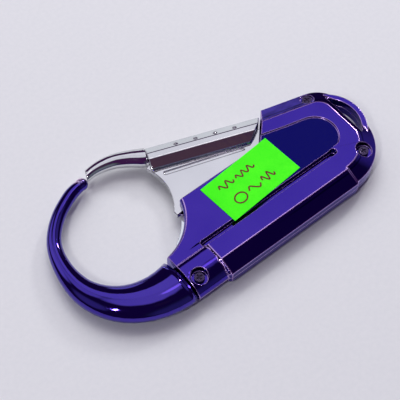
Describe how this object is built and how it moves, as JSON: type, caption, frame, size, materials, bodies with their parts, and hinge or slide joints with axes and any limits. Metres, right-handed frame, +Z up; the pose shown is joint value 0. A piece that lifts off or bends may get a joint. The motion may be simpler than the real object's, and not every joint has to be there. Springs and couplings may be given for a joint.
{
  "type": "carabiner keyring",
  "caption": "Flat carabiner keyring with a hooked arm, a sprung inward-opening gate, a ridged two-shell body and a strap slot at its far end.",
  "frame": {"origin": "middle of the outline's box, at the back face the object lies on", "axes": "+X along the body from the hook to the strap slot, +Y across the body towards the gate, +Z up out of the front face"},
  "size_m": [0.0872, 0.046, 0.007],
  "materials": {
    "purple_metallised": "moulded ABS, vacuum metallised and dipped in purple lacquer, mirror smooth",
    "bright_metallised": "moulded ABS, vacuum metallised under a clear lacquer",
    "bright_plated": "zinc die casting, bright nickel and chrome plated",
    "steel": "turned steel pin",
    "spring_steel": "drawn spring wire, bright",
    "dark_screw": "case-hardened steel, black oxide",
    "green_label": "fluorescent paper, price-gun label, self adhesive"
  },
  "bodies": {
    "body": {"front_shell": "purple_metallised", "rear_shell": "purple_metallised", "core_plate": "bright_metallised", "hook_arm": "purple_metallised", "pivot_pin": "steel", "gate_spring": "spring_steel", "arm_screw": "dark_screw", "strap_screw": "dark_screw", "shoulder_screw": "dark_screw", "price_label": "green_label"},
    "gate": {"gate": "bright_plated", "gate_nose": "bright_plated"}
  },
  "joints": [
    {"name": "gate_hinge", "type": "hinge", "parent": "body", "child": "gate", "pos_m": [0.02323, 0.00272, 0.0035], "axis": [0, 0, 1], "range_deg": [0, 16], "stiffness_Nm_per_rad": 0.03, "springref_deg": -34.38, "deforming": ["gate_spring"]}
  ]
}
